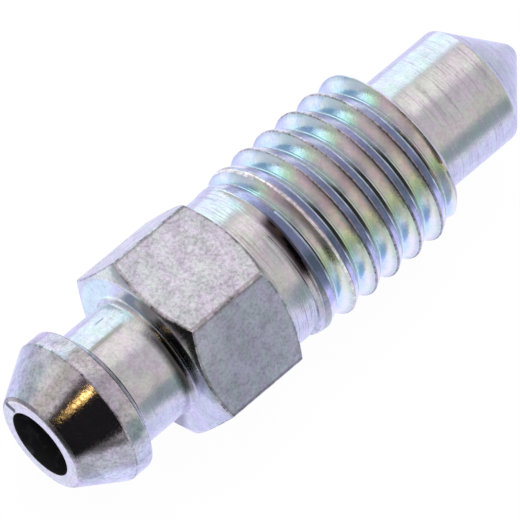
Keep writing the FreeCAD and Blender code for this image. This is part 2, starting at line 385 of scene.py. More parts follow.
def model_tip(sizes):
    """From the thread's end face along the plain shank to the rounded point of the seat cone."""
    nose_centre = TIP - sizes.nose_r
    beside_port = sizes.port_r + 0.2
    steps = 5
    nose = [(nose_centre + sizes.nose_r * math.cos(turn), sizes.nose_r * math.sin(turn))
            for turn in (SEAT_CONE_HALF_ANGLE * (1 - step / steps) for step in range(steps))]
    piece = turned("tip", [
        (SHANK_MIDDLE - SHANK_LENGTH / 2, sizes.shank_r),
        (sizes.port_x - beside_port, sizes.shank_r),
        (sizes.port_x + beside_port, sizes.shank_r),
        (sizes.cone_edge, sizes.shank_r),
        *nose,
        (TIP, 0),
    ], sizes.columns)
    round_ring(piece, sizes.cone_edge, sizes.shank_r, 0.04, 3)
    return piece


def spaced(start, end, count):
    """Evenly spaced stations from start up to, but not including, end."""
    return [start + (end - start) * step / count for step in range(count)]


def groove_stations(sizes):
    """Stations across one pitch about a groove's middle, closer at its bottom, crest edge and lip."""
    half_pitch = sizes.thread_pitch / 2
    lip = sizes.thread_pitch - sizes.shoulder_end
    bottom = 0.09
    edge_begins, edge_ends = sizes.thread_front - 0.06, sizes.crest_end + 0.04
    lip_begins, lip_ends = lip - 0.09, lip + 0.09
    ahead = [*spaced(0.0, bottom, 4), *spaced(bottom, edge_begins, 3), *spaced(edge_begins, edge_ends, 12),
             *spaced(edge_ends, half_pitch, 2), half_pitch]
    behind = [*spaced(0.0, bottom, 4), *spaced(bottom, lip_begins, 2), *spaced(lip_begins, lip_ends, 10),
              *spaced(lip_ends, half_pitch, 3), half_pitch]
    return [-station for station in reversed(behind[1:])] + ahead


def along_groove(sizes, point):
    """Distance across the groove from its middle, and turns along it from where it is fully deep."""
    angle = round_axis(point)[1]
    turn = (angle - math.pi / 2) / (2 * math.pi)
    ahead = (point.x - sizes.full_from) / sizes.thread_pitch - turn
    across = (ahead + 0.5) % 1.0 - 0.5
    return across * sizes.thread_pitch, ahead - across + turn


def crest_radius(sizes, x):
    """Radius of the blank that the groove is rolled into, with a hollow at the first crest's foot."""
    foot = sizes.thread_foot
    if x < sizes.relief_end + foot:
        slope = (sizes.first_crest_r - sizes.relief_r) / sizes.thread_lead
        into = max(0.0, x - sizes.relief_end + foot)
        return sizes.relief_r + slope * into * into / (4 * foot)
    corners = [
        (sizes.relief_end, sizes.relief_r),
        (sizes.first_crest, sizes.first_crest_r),
        (sizes.full_crest, sizes.thread_r),
        (sizes.end_chamfer, sizes.thread_r),
        (sizes.thread_end, sizes.thread_end_r),
    ]
    for (x0, r0), (x1, r1) in zip(corners, corners[1:]):
        if x <= x1:
            return r0 + (r1 - r0) * (x - x0) / (x1 - x0)
    return sizes.thread_end_r


def lower_of(first, second, softness):
    """The lower of two radii, rounded where they meet."""
    overlap = max(0.0, softness - abs(first - second)) / softness
    return min(first, second) - overlap * overlap * softness / 4


def thread_radius(sizes, point):
    """Radius of the rolled thread: steep front flank, narrow crest, falling shoulder and back flank."""
    across, turns = along_groove(sizes, point)
    past_middle = across > -SAME_PLACE
    bottom = sizes.thread_r - sizes.thread_depth + max(0.0, -turns) * sizes.groove_runout
    front_flank = bottom + across * sizes.thread_depth / sizes.thread_front
    back_width = sizes.thread_pitch - sizes.shoulder_end
    back_flank = bottom - across * (sizes.thread_depth - sizes.shoulder_fall) / back_width
    groove = -lower_of(-front_flank, -back_flank, sizes.root_round)

    from_crest = across - sizes.crest_end
    behind_crest = max(0.0, from_crest) if past_middle else from_crest + sizes.thread_pitch
    turns_of_crest = turns + 1.0 if past_middle else turns
    formed = min(1.0, max(0.0, 1.0 + turns_of_crest))
    fall = behind_crest * sizes.shoulder_fall / sizes.thread_shoulder * formed
    softness = sizes.edge_round if past_middle else sizes.lip_round
    return lower_of(crest_radius(sizes, point.x) - fall, groove, softness)


def cut_across(station, **cleared):
    """In edit mode, cut the whole mesh across the axis at one station, and clear one side if asked."""
    bpy.ops.mesh.select_all(action="SELECT")
    bpy.ops.mesh.bisect(plane_co=(station, 0, 0), plane_no=(1, 0, 0), **cleared)


def model_thread(sizes):
    """The rolled thread: a strip across one pitch, screwed about the axis, cut to length and pressed in."""
    stations = groove_stations(sizes)
    deselect_all()
    bpy.ops.mesh.primitive_grid_add(x_subdivisions=len(stations) - 1, y_subdivisions=1, size=2)
    piece = bpy.context.object
    piece.name = "thread"
    edit(piece)
    select_vertices(piece, lambda point: point.y > 0)
    bpy.ops.mesh.delete(type="VERT")
    mesh = bmesh.from_edit_mesh(piece.data)
    strip_start = sizes.full_from - 2 * sizes.thread_pitch
    for vertex, station in zip(sorted(mesh.verts, key=lambda vertex: vertex.co.x), stations):
        vertex.co = (strip_start + station, 0, sizes.thread_r)
    bmesh.update_edit_mesh(piece.data)
    leave_edit()

    screw = piece.modifiers.new("screw", "SCREW")
    screw.axis = "X"
    screw.angle = 2 * math.pi
    screw.screw_offset = sizes.thread_pitch
    screw.iterations = math.ceil((sizes.thread_end - strip_start) / sizes.thread_pitch) + 1
    screw.steps = sizes.columns
    screw.render_steps = sizes.columns
    make_active(piece)
    bpy.ops.object.modifier_apply(modifier=screw.name)

    edit(piece)
    bpy.ops.mesh.select_all(action="SELECT")
    bpy.ops.mesh.remove_doubles(threshold=MERGED)
    for station in (sizes.first_crest, sizes.full_crest, sizes.end_chamfer):
        cut_across(station)
    cut_across(sizes.relief_end - sizes.thread_foot, clear_inner=True)
    cut_across(sizes.thread_end, clear_outer=True)
    mesh = bmesh.from_edit_mesh(piece.data)
    for vertex in mesh.verts:
        vertex.co = at_angle(vertex.co.x, thread_radius(sizes, vertex.co), round_axis(vertex.co)[1])
    bmesh.update_edit_mesh(piece.data)
    leave_edit()
    return piece


def bridge_gap(piece, x_low, x_high):
    """Join the two open rings that lie between two stations."""
    def open_there(edge):
        return edge.is_boundary and all(x_low < vertex.co.x < x_high for vertex in edge.verts)

    edit(piece)
    select_edges(piece, open_there)
    bpy.ops.mesh.bridge_edge_loops()
    leave_edit()


def drill_port(piece, sizes):
    """The cross drilling, through the underside of the shank into the passage."""
    drill_length, drill_middle = 4.0, -2.9
    deselect_all()
    bpy.ops.mesh.primitive_cylinder_add(vertices=64, radius=sizes.port_r, depth=drill_length,
                                        location=(sizes.port_x, 0, drill_middle))
    drill = bpy.context.object
    make_active(piece)
    cut = piece.modifiers.new("port", "BOOLEAN")
    cut.operation = "DIFFERENCE"
    cut.solver = "EXACT"
    cut.object = drill
    bpy.ops.object.modifier_apply(modifier=cut.name)
    bpy.data.objects.remove(drill, do_unlink=True)


def model_screw(sizes):
    """The whole screw as one closed skin, at its real size and place."""
    piece = model_nipple(sizes)
    others = [model_thread(sizes), model_tip(sizes)]
    make_active(piece)
    for other in others:
        other.select_set(True)
    bpy.ops.object.join()
    piece = bpy.context.object
    foot = sizes.relief_end - sizes.thread_foot
    bridge_gap(piece, foot - 1.5 * JOINT_GAP, foot + 0.5 * JOINT_GAP)
    bridge_gap(piece, sizes.thread_end - JOINT_GAP, sizes.thread_end + JOINT_GAP)
    edit(piece)
    bpy.ops.mesh.select_all(action="SELECT")
    bpy.ops.mesh.remove_doubles(threshold=SAME_PLACE)
    bpy.ops.mesh.normals_make_consistent(inside=False)
    leave_edit()
    drill_port(piece, sizes)
    piece.data.transform(Matrix.Translation(MOUTH) @ Matrix.Scale(MM, 4))
    piece.name = "plated_screw"
    make_active(piece)
    bpy.ops.object.shade_smooth_by_angle(angle=SMOOTH_BELOW)
    return piece


class Wire:
    """A socket of a node tree, so that a material's maths reads as plain expressions."""

    def __init__(self, tree, socket=None):
        self.tree = tree
        self.socket = socket

    def node(self, kind, settings=None, sockets=None, output=0):
        """Add a node: its settings first, then the values or links of its sockets."""
        node = self.tree.nodes.new(kind)
        for name, value in (settings or {}).items():
            setattr(node, name, value)
        for name, value in (sockets or {}).items():
            if isinstance(value, Wire):
                self.tree.links.new(value.socket, node.inputs[name])
            else:
                node.inputs[name].default_value = value
        return Wire(self.tree, node.outputs[output]) if node.outputs else node

    def math(self, operation, first, second):
        """A Math node on two numbers."""
        return self.node("ShaderNodeMath", {"operation": operation}, {0: first, 1: second})

    def vector(self, operation, sockets, output=0):
        """A Vector Math node."""
        return self.node("ShaderNodeVectorMath", {"operation": operation}, sockets, output)

    def __add__(self, other):
        return self.math("ADD", self, other)

    __radd__ = __add__

    def __sub__(self, other):
        return self.math("SUBTRACT", self, other)

    def __rsub__(self, other):
        return self.math("SUBTRACT", other, self)

    def __mul__(self, other):
        return self.math("MULTIPLY", self, other)

    __rmul__ = __mul__

    def between(self, low, high):
        """A soft mask: nothing below the first value, all above the second."""
        return self.node("ShaderNodeMapRange", {"interpolation_type": "SMOOTHSTEP"},
                         {"Value": self, "From Min": low, "From Max": high})

    def tinted(self, first, second):
        """A colour mixed from two by this mask."""
        colours = [value if isinstance(value, Wire) else (*value, 1.0) for value in (first, second)]
        return self.node("ShaderNodeMix", {"data_type": "RGBA"}, {0: self, 6: colours[0], 7: colours[1]}, 2)

    def times(self, other):
        """This colour darkened by a number or tinted by another colour."""
        if isinstance(other, Wire) and other.socket.type == "VALUE":
            return self.vector("SCALE", {0: self, "Scale": other})
        return self.vector("MULTIPLY", {0: self, 1: other})

    def shaders(self, first, second):
        """Two shaders mixed by this mask."""
        return self.node("ShaderNodeMixShader", {}, {0: self, 1: first, 2: second})

    def noise(self, place, stretch, detail=2.0, roughness=0.5):
        """Noise at a place, with its fineness along each axis."""
        stretched = self.vector("MULTIPLY", {0: place, 1: stretch})
        return self.node("ShaderNodeTexNoise", {}, {"Vector": stretched, "Scale": 1.0, "Detail": detail,
                                                    "Roughness": roughness})


def plate_films(finish):
    """Each film's layers: the slants at which one begins and is full, its tint, and how much duller it is."""
    return {
        "plain": [
            (0.0, 0.0, finish.plate),
            (0.07, 0.12, (0.83, 0.81, 0.77)),
            (0.2, 0.3, (0.79, 0.82, 0.79)),
            (0.38, 0.5, (0.77, 0.81, 0.86)),
            (0.6, 0.75, (0.82, 0.83, 0.9)),
        ],
        "flats": [
            (0.0, 0.0, finish.flats),
            (0.18, 0.24, (0.69, 0.7, 0.73)),
            (0.45, 0.6, (1.0, 0.97, 1.0)),
        ],
        "flanks": [
            (0.0, 0.0, finish.flanks, 0.22),
            (0.21, 0.25, (0.79, 0.87, 0.62), 0.15),
            (0.26, 0.31, (0.9, 1.0, 0.9), 0.02),
            (0.32, 0.36, (0.84, 1.0, 0.96)),
            (0.38, 0.43, (0.84, 0.98, 0.98)),
            (0.45, 0.52, (0.84, 0.89, 0.94)),
        ],
        "crests": [
            (0.0, 0.0, finish.crests),
            (0.12, 0.2, (0.62, 0.59, 0.7)),
            (0.22, 0.3, (0.72, 0.7, 0.78)),
            (0.5, 0.6, (0.76, 0.76, 0.8)),
            (0.64, 0.74, (0.96, 0.96, 0.94)),
        ],
        "crest_edges": [(0.0, 0.0, finish.crest_edges), (0.08, 0.18, (1.0, 1.0, 1.0))],
        "shoulders": [
            (0.0, 0.0, finish.shoulders),
            (0.36, 0.44, (0.36, 0.385, 0.62)),
            (0.48, 0.56, (0.62, 0.64, 0.96)),
            (0.66, 0.76, (0.96, 0.97, 0.97)),
        ],
        # Back flanks: the near-black layer at a slant is painted shade of the groove
        "back_flanks": [(0.0, 0.0, finish.back_flanks), (0.5, 0.62, (0.09, 0.14, 0.13))],
        **{name: [(0.0, 0.0, getattr(finish, name))] for name in ("lips", "mouth", "rim", "thread_end")},
    }


# The two hues between which a finish wanders from place to place
PLAIN_HUES = ((1.0, 0.94, 1.0), (0.96, 1.0, 0.95))
FLANK_HUES = ((1.0, 0.92, 0.96), (0.95, 1.0, 0.92))
CREST_HUES = ((1.0, 0.92, 0.8), (0.76, 0.84, 1.0))

# Patches of tint on the plate: a tint, and for each axis the place at which it begins and is full. Apart from
# the mouth's, these patches are painted reflections and painted shade, lighter or darker by side or radius.
MOUTH_PATCHES = [
    ((0.1, 0.09, 0.1), [("side", 1.34, 1.42), ("up", 0.73, 0.8), ("up", 1.12, 1.03)]),
]
# Rim: painted shade, darker towards +Y and upwards
RIM_PATCHES = [
    ((0.62, 0.6, 0.6), [("side", -0.4, 0.6), ("up", -0.3, 0.3)]),
]
# Crests: painted reflections and painted shade, lighter or darker by side
CREST_PATCHES = [
    ((0.66, 0.72, 0.66), [("side", -2.3, -2.9)]),
    ((1.3, 1.25, 1.25), [("side", -3.7, -3.85)]),
    ((0.84, 0.84, 0.84), [("side", 1.2, 1.6)]),
]
# Crest edges: painted shade and painted reflection, darker or lighter by side
CREST_EDGE_PATCHES = [
    ((0.5, 0.54, 0.54), [("side", -2.9, -3.2)]),
    ((1.6, 1.5, 1.5), [("side", -3.6, -3.75)]),
]
# Shoulders: painted reflections and painted shade, lighter or darker by side
SHOULDER_PATCHES = [
    ((1.5, 1.5, 1.4), [("side", -0.8, 0.3)]),
    ((0.45, 0.45, 0.44), [("side", 0.8, 1.6)]),
    ((1.9, 1.9, 1.8), [("side", 1.9, 2.3)]),
    ((0.48, 0.55, 0.48), [("side", -2.1, -2.6)]),
    ((2.2, 1.95, 2.1), [("side", -3.25, -3.6)]),
]
# Lips: painted highlight, brighter or darker by side
LIP_PATCHES = [
    ((1.25, 1.25, 1.45), [("side", -1.0, -0.5)]),
    ((0.44, 0.5, 0.55), [("side", 0.7, 1.2)]),
    ((1.8, 1.7, 1.5), [("side", 1.6, 2.0)]),
    ((0.42, 0.48, 0.48), [("side", -1.9, -2.6)]),
    ((3.6, 3.2, 3.3), [("side", -2.95, -3.2)]),
]
# Front flanks: painted reflections and painted shade, by side and by depth in the groove
FLANK_PATCHES = [
    ((0.86, 1.0, 1.08), [("radius", 3.66, 3.44), ("side", -3.2, -2.6)]),
    ((0.74, 0.86, 1.15), [("radius", 3.66, 3.44), ("side", -2.7, -3.2)]),
    ((1.38, 1.36, 1.22), [("side", -1.2, -2.0)]),
    ((0.95, 0.97, 0.9), [("side", -2.3, -2.9)]),
    ((0.99, 0.97, 0.84), [("side", -2.3, -2.9), ("up", 0.0, 0.6)]),
    ((0.92, 1.0, 1.15), [("side", 0.5, 0.9)]),
    ((1.28, 1.18, 1.08), [("side", 0.55, 0.95), ("side", 2.5, 2.2)]),
    ((1.45, 1.35, 1.4), [("radius", 3.66, 3.84), ("side", -1.8, -2.3), ("side", -3.05, -2.9)]),
    ((0.8, 0.82, 0.83), [("radius", 3.74, 3.86), ("side", 1.9, 2.5)]),
    ((0.72, 0.76, 0.82), [("radius", 3.66, 3.86), ("side", -2.9, -3.1)]),
]
# Back flanks: painted reflections that lift the painted shade at a slant on some sides
BACK_FLANK_PATCHES = [
    ((10.0, 9.0, 12.5), [("side", -1.5, -0.3)]),
    ((0.26, 0.3, 0.38), [("side", 0.9, 1.4)]),
    ((0.4, 0.45, 0.5), [("side", -2.0, -2.7)]),
    ((10.0, 8.5, 11.5), [("side", -2.85, -3.15)]),
]
# Thread end: painted shade on one side
THREAD_END_PATCHES = [
    ((0.55, 0.55, 0.58), [("side", -2.4, -3.4)]),
]
# Seat cone and port: painted shade on one side
SHANK_PATCHES = [
    ((0.84, 0.86, 0.85), [("radius", SHANK_R - 0.06, SHANK_R - 0.16), ("side", -0.4, -1.2)]),
]


def bulb_patches(sizes):
    """Painted reflections on the cone and the land of the bulb, lighter or darker by side."""
    cone = ("along", sizes.bulb_front + 0.02, sizes.bulb_front - 0.02)
    land = ("along", sizes.bulb_front - 0.02, sizes.bulb_front + 0.02)
    return [
        ((1.16, 1.2, 1.26), [cone, ("side", 0.2, 0.6), ("side", 2.2, 1.6)]),
        ((1.14, 1.14, 1.14), [cone, ("side", -2.5, -2.8)]),
        ((0.92, 0.88, 0.93), [land, ("side", -2.3, -1.6)]),
        ((1.05, 0.95, 0.97), [land, ("side", 0.5, 1.2)]),
    ]


def neck_patches(sizes):
    """Painted shade on the neck where it runs into the hexagon, painted shade and painted reflection on the
    hexagon's front chamfer, and a stain and a scratch.
    """
    front = sizes.hex_front
    neck = ("along", front - 0.01, front - 0.05)
    chamfer = ("along", front - 0.06, front - 0.02)
    upper = ("up", 0.3, 0.9)
    # Painted shade on the neck beside the hexagon
    dark_end = [
        ((0.45, 0.46, 0.44), [neck, ("along", front - 0.7, front - 0.46), ("side", 0.1, -0.6), upper]),
        ((0.32, 0.32, 0.3), [("along", front - 0.5, front - 0.34), ("along", front - 0.1, front - 0.2),
                              ("side", -0.5, -1.1), upper]),
        ((0.45, 0.42, 0.36), [neck, ("along", front - 0.26, front - 0.16), ("side", -0.8, -1.2),
                              ("side", -2.2, -1.8)]),
    ]
    # Painted shade and painted reflection on the front chamfer, by side
    chamfer_painted_light = [
        ((0.48, 0.48, 0.49), [chamfer, ("side", 0.5, 0.0), ("side", -2.4, -1.9)]),
        ((0.6, 0.64, 0.64), [chamfer, ("side", -2.9, -3.3), ("up", 0.6, 1.0)]),
        ((1.16, 1.4, 1.22), [chamfer, ("side", 1.6, 2.2), ("radius", 3.9, 3.7)]),
    ]
    stain = ((0.72, 0.72, 0.64), [("side", 0.36, 0.46), ("side", 0.66, 0.56), ("up", 2.0, 2.2),
                                  ("along", 5.4, 5.0)])
    scratch = ((0.52, 0.54, 0.56), [("side", 1.34, 1.39), ("side", 1.48, 1.43), ("along", 4.45, 4.55),
                                    ("along", 5.0, 4.9)])
    return [*dark_end, *chamfer_painted_light, stain, scratch]


def flat_patches(sizes):
    """The hexagon's flats are darker along their edges."""
    to_edge = sizes.hex_length / 2 - sizes.hex_chamfer + HEX_CORNER_R * CHAMFER_SLOPE
    front, rear = HEX_MIDDLE - to_edge, HEX_MIDDLE + to_edge
    return [
        ((0.62, 0.57, 0.57), [("radius", HEX_CORNER_R - 0.1, HEX_CORNER_R - 0.04)]),
        ((0.6, 0.56, 0.56), [("front_cone", front + 0.16, front + 0.05)]),
        ((0.75, 0.72, 0.72), [("rear_cone", rear - 0.13, rear - 0.05)]),
    ]


def relief_patches(sizes):
    """Painted shade in the hollow between the relief and the first crest, on its upper side."""
    end = sizes.relief_end
    return [
        ((0.13, 0.11, 0.11), [("along", end - 0.14, end + 0.04), ("side", 0.0, -0.7), ("side", -3.3, -2.6)]),
        ((0.6, 0.58, 0.58), [("along", end - 0.34, end - 0.14), ("side", -0.5, -1.2), ("side", -3.1, -2.4)]),
    ]


def first_crest_patches(sizes):
    """Painted shade on the foot of the first crest, as dark as the painted shade in the hollow before it."""
    foot = ("along", sizes.relief_end + 0.44, sizes.relief_end + 0.34)
    return [((0.2, 0.18, 0.2), [foot, ("side", 0.0, -0.7), ("side", -3.3, -2.6)])]


def new_material(name):
    """An empty material and a wire into its nodes."""
    material = bpy.data.materials.new(name)
    material.use_nodes = True
    material.node_tree.nodes.clear()
    return material, Wire(material.node_tree)


def millimetre_place(wire):
    """The point on the piece in millimetres, counted from the middle of the mouth."""
    place = wire.node("ShaderNodeTexCoord", output="Object")
    shifted = wire.vector("SUBTRACT", {0: place, 1: MOUTH})
    return wire.vector("SCALE", {0: shifted, "Scale": ENLARGED})


def place_axes(wire, place):
    """Where a point lies on the screw, in millimetres, also counted along the hexagon's chamfer cones."""
    from_axis = wire.vector("MULTIPLY", {0: place, 1: (0.0, 1.0, 1.0)})
    radius = wire.vector("LENGTH", {0: from_axis}, "Value")
    along, side, up = (wire.node("ShaderNodeSeparateXYZ", {}, {0: place}, axis) for axis in "XYZ")
    return {
        "along": along,
        "side": side,
        "up": up,
        "radius": radius,
        "front_cone": along - radius * CHAMFER_SLOPE,
        "rear_cone": along + radius * CHAMFER_SLOPE,
    }


def patched(shade, axes, patches):
    """A colour tinted where each patch lies."""
    for tint, limits in patches:
        inside = 1.0
        for axis, begins, full in limits:
            inside = inside * axes[axis].between(begins, full)
        shade = shade.times(inside.tinted(WHITE, tint))
    return shade


def film_sheen(wire, film, shade, grazing_shade, sockets):
    """Metals of the film's tints, each taking over where the plate is seen at a greater slant."""
    slant = wire.node("ShaderNodeLayerWeight", {}, {"Blend": 0.5}, "Facing")
    surface = None
    for layer in film:
        begins, full, tint, *duller = layer
        own_shade = grazing_shade if layer is film[-1] else shade
        metal = wire.node("ShaderNodeBsdfPrincipled", {}, {**sockets, "Base Color": own_shade.times(tint),
                                                           "Roughness": sockets["Roughness"] + sum(duller)})
        surface = slant.between(begins, full).shaders(surface, metal) if surface else metal
    return surface


def plated(name, film, roughness, specks, clouds, turning=0.0, grain=0.2, hues=PLAIN_HUES, patches=(),
           grazing_patches=(), metal=1.0):
    """Zinc plate with specks, clouds and turned lines that take light away, and a fine grain."""
    material, wire = new_material(name)
    place = millimetre_place(wire)
    axes = place_axes(wire, place)
    cloud = wire.noise(place, (1.6, 1.6, 1.6), detail=5.0, roughness=0.65).between(0.35, 0.65)
    speck = wire.noise(place, (7.0, 7.0, 7.0), detail=4.0, roughness=0.75).between(0.36, 0.74)
    line = wire.noise(place, (15.0, 0.5, 0.5), detail=3.0, roughness=0.6).between(0.5, 0.75)
    hue = wire.noise(place, (2.5, 0.9, 0.9), detail=3.0).between(0.38, 0.62).tinted(*hues)
    shade = patched(hue.times(1.0 - specks * speck - clouds * cloud - turning * line), axes, patches)
    height = speck * grain + line * (turning * 1.5)
    normal = wire.node("ShaderNodeBump", {}, {"Strength": 1.0, "Distance": GRAIN_DEPTH, "Height": height})
    gloss = roughness + 0.10 * speck + 0.04 * cloud + 0.5 * turning * line
    surface = film_sheen(wire, film, shade, patched(shade, axes, grazing_patches),
                         {"Metallic": metal, "Roughness": gloss, "Normal": normal})
    wire.node("ShaderNodeOutputMaterial", {}, {"Surface": surface})
    return material


def passage_material(finish):
    """Bare drilled steel, painted near-black as the shade deep in the bore, with lighter grey streaks."""
    material, wire = new_material("passage")
    dust = wire.noise(millimetre_place(wire), (2.0, 2.0, 2.0), detail=4.0).between(0.5, 0.8)
    shade = dust.tinted(finish.passage, finish.dust)
    surface = wire.node("ShaderNodeBsdfPrincipled", {},
                        {"Metallic": 0.6, "Roughness": 0.5, "Base Color": shade})
    wire.node("ShaderNodeOutputMaterial", {}, {"Surface": surface})
    return material


def turned_finishes(sizes, finish):
    """The finish of each region from the mouth to the relief, and of the shank."""
    films = plate_films(finish)
    return {
        "passage": passage_material(finish),
        "mouth": plated("bright_mouth", films["mouth"], 0.15, specks=0.3, clouds=0.1, patches=MOUTH_PATCHES),
        # Rim: painted shade on its rounding
        "rim": plated("rim_painted_shade", films["rim"], 0.25, specks=0.4, clouds=0.2, patches=RIM_PATCHES),
        # Bulb: worn specks, and painted reflections from its patches
        "bulb": plated("bulb_wear_and_painted_light", films["plain"], 0.045, specks=0.35, clouds=0.25,
                       patches=bulb_patches(sizes)),
        "neck": plated("bright_neck", films["plain"], 0.08, specks=0.2, clouds=0.15, turning=0.1,
                       patches=neck_patches(sizes)),
        "flats": plated("matte_flats", films["flats"], 0.34, specks=0.36, clouds=0.19, grain=0.5,
                        patches=flat_patches(sizes)),
        # Edges: darker, with stronger specks and clouds
        "edges": plated("darker_edges", films["plain"], 0.2, specks=0.5, clouds=0.5),
        "relief": plated("turned_relief", films["plain"], 0.08, specks=0.15, clouds=0.1, turning=0.38,
                         patches=relief_patches(sizes)),
        "shank": plated("turned_shank", films["plain"], 0.09, specks=0.15, clouds=0.1, turning=0.3,
                        patches=SHANK_PATCHES),
    }


def thread_finishes(sizes, finish):
    """The finish of each region of the thread: one zinc plate, whose crests, crest edges, shoulders, lips and
    back flanks carry painted reflections, painted highlights and painted shade.
    """
    films = plate_films(finish)
    # Painted shade on the first crest's foot
    dark_foot = first_crest_patches(sizes)
    return {
        "flanks": plated("rolled_flanks", films["flanks"], 0.06, specks=0.12, clouds=0.08, hues=FLANK_HUES,
                         patches=FLANK_PATCHES),
        "crests": plated("rolled_crests", films["crests"], 0.12, specks=0.3, clouds=0.15, hues=CREST_HUES,
                         patches=CREST_PATCHES + dark_foot),
        "shoulders": plated("rolled_shoulders", films["shoulders"], 0.1, specks=0.2, clouds=0.1,
                            patches=SHOULDER_PATCHES + dark_foot),
        # Lips: a painted highlight, not metal
        "lips": plated("lips_painted_highlight", films["lips"], 0.4, specks=0.3, clouds=0.2, metal=0.0,
                       patches=LIP_PATCHES),
        "back_flanks": plated("rolled_back_flanks", films["back_flanks"], 0.06, specks=0.12, clouds=0.08,
                              grazing_patches=BACK_FLANK_PATCHES),
        # Crest edges: painted shade along each crest's front edge
        "crest_edges": plated("crest_edges_painted_shade", films["crest_edges"], 0.3, specks=0.65, clouds=0.35,
                              patches=CREST_EDGE_PATCHES),
        "first_edge": plated("rubbed_first_crest", films["crest_edges"], 0.3, specks=0.5, clouds=0.3,
                             metal=0.15),
        "thread_end": plated("bright_thread_end", films["thread_end"], 0.12, specks=0.1, clouds=0.1,
                             patches=THREAD_END_PATCHES),
    }


# A face nearer to an edge than this belongs to its rounding
EDGE_WIDTH = 0.04
# How far faces lean along the axis, from -1 towards the mouth to 1 towards the seat cone
MOUTH_LEAN, RIM_LEAN = -0.9, -0.6
CHAMFER_LEAN = 0.8
FRONT_FLANK_LEAN = -0.80
END_FACE_LEAN = 0.98
LEAST_LEANS = {"back_flanks": 0.7, "lips": 0.54, "shoulders": 0.3, "crests": -0.15}


def hexagon_region(centre, normal):
    """Flat, edge or chamfer of the hexagon."""
    middle_of_flat = SIXTH_TURN * (math.floor(round_axis(centre)[1] / SIXTH_TURN) + 0.5)
    if normal.dot(at_angle(0, 1, middle_of_flat)) > 0.9995:
        return "flats"
    return "neck" if abs(normal.x) > CHAMFER_LEAN else "edges"


def thread_region(sizes, centre, normal):
    """Part of the thread's section, told by where a face lies and how far it leans."""
    x, lean = centre.x, normal.x
    radius = round_axis(centre)[0]
    near_bottom = sizes.thread_r - sizes.thread_depth + 0.1
    foot_end = sizes.relief_end + sizes.thread_pitch / 2
    rubbed_end = sizes.first_crest + 1.44 * sizes.thread_pitch
    if x < sizes.first_crest - EDGE_WIDTH and radius < sizes.first_crest_r - EDGE_WIDTH / 2:
        return "relief"
    if x > sizes.end_chamfer and radius > sizes.thread_end_r and lean > LEAST_LEANS["crests"]:
        return "thread_end"
    if lean > END_FACE_LEAN or x > sizes.thread_end - 0.85 and lean > LEAST_LEANS["shoulders"]:
        return "thread_end"
    if lean < FRONT_FLANK_LEAN or radius < near_bottom:
        return "flanks"
    for name, least_lean in LEAST_LEANS.items():
        if lean > least_lean:
            return name
    if x > sizes.thread_end - 0.6:
        return "flanks"
    if x < foot_end:
        return "relief"
    return "first_edge" if x <= rubbed_end else "crest_edges"


def region(sizes, centre, normal):
    """Which finish a face of the screw has, by its place and by the way it looks."""
    x, lean = centre.x, normal.x
    radius = round_axis(centre)[0]
    if radius < sizes.bore_r + 0.02 and x < sizes.bore_depth + 2:
        return "passage"
    if x < 0.3 and lean < RIM_LEAN:
        return "mouth" if lean < MOUTH_LEAN else "rim"
    beside_bulb_edge = any(abs(x - edge) < EDGE_WIDTH for edge in (sizes.bulb_front, sizes.bulb_rear))
    if beside_bulb_edge and abs(radius - sizes.bulb_r) < EDGE_WIDTH:
        return "edges"
    if x < sizes.bulb_rear:
        return "bulb"
    if x < sizes.hex_front + 0.01:
        return "neck"
    if x < sizes.hex_rear + 0.01 and radius > sizes.relief_r:
        return hexagon_region(centre, normal)
    if x < sizes.thread_end or lean > END_FACE_LEAN:
        return thread_region(sizes, centre, normal)
    return "shank"


def finish_screw(piece, sizes, finish):
    """Give each region of the screw its own finish."""
    finishes = turned_finishes(sizes, finish) | thread_finishes(sizes, finish)
    names = list(finishes)
    for material in finishes.values():
        piece.data.materials.append(material)
    for face in piece.data.polygons:
        centre = (face.center - MOUTH) * ENLARGED
        face.material_index = names.index(region(sizes, centre, face.normal))


def camera_and_mirror_rays(wire):
    """Whether a ray comes from the camera, and whether from a glossy or clear surface."""
    camera, glossy, clear = (wire.node("ShaderNodeLightPath", output=name)
                             for name in ("Is Camera Ray", "Is Glossy Ray", "Is Transmission Ray"))
    return camera, glossy + clear


def lay_floor(finish):
    """A pale floor, white to the camera, that keeps the screw's shadow."""
    deselect_all()
    bpy.ops.mesh.primitive_plane_add(size=2.0, location=(0, 0, 0))
    floor = bpy.context.object
    floor.name = "floor"
    material, wire = new_material("white_floor")
    camera, mirror = camera_and_mirror_rays(wire)
    paint = wire.node("ShaderNodeBsdfDiffuse", {}, {"Color": (*finish.floor, 1.0)})
    glow = wire.node("ShaderNodeEmission", {}, {"Color": (*WHITE, 1.0), "Strength": 1.0})
    open_air = wire.node("ShaderNodeBsdfTransparent")
    surface = mirror.shaders((camera * FLOOR_GLOW).shaders(paint, glow), open_air)
    wire.node("ShaderNodeOutputMaterial", {}, {"Surface": surface})
    floor.data.materials.append(material)


